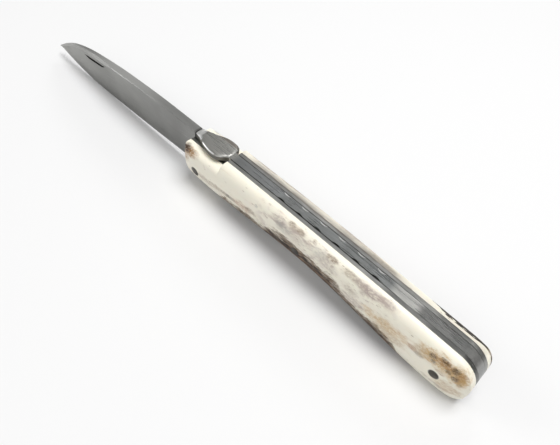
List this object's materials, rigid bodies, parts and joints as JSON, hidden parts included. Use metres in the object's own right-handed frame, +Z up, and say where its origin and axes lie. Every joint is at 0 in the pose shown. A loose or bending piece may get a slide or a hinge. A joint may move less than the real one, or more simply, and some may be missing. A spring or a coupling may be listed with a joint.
{
  "type": "folding pocket knife",
  "caption": "Folding pocket knife with antler scales, steel liners and a back spring whose wide front leaf releases the blade.",
  "frame": {"origin": "bottom centre of the open knife, on the surface that its belly stands on", "axes": "+X to the butt, so the blade tip is at -X; +Y to the right scale; +Z up to the back of the handle"},
  "size_m": [0.211, 0.015, 0.0203],
  "materials": {
    "blade_steel": "satin",
    "spring_steel": "satin",
    "liner_steel": "satin",
    "pin_steel": "satin",
    "antler": "satin"
  },
  "bodies": {
    "handle": {"left_scale": "antler", "right_scale": "antler", "left_liner": "liner_steel", "right_liner": "liner_steel", "back_spring": "spring_steel", "pivot_pin": "pin_steel", "rear_pin": "pin_steel", "spring_pin": "pin_steel", "left_scale_rivet": "pin_steel", "right_scale_rivet": "pin_steel"},
    "blade": {"blade": "blade_steel"},
    "lock_spring": {"spring_arm": "spring_steel"}
  },
  "joints": [
    {"name": "blade_fold", "type": "hinge", "parent": "handle", "child": "blade", "pos_m": [-0.008, 0, 0.0082], "axis": [0, -1, 0], "range_deg": [0, 177.5], "deforming": ["spring_arm"]},
    {"name": "palme_lift", "type": "hinge", "parent": "handle", "child": "lock_spring", "pos_m": [0.0735, 0, 0.0179], "axis": [0, 1, 0], "range_deg": [0, 1.6], "stiffness_Nm_per_rad": 12}
  ]
}
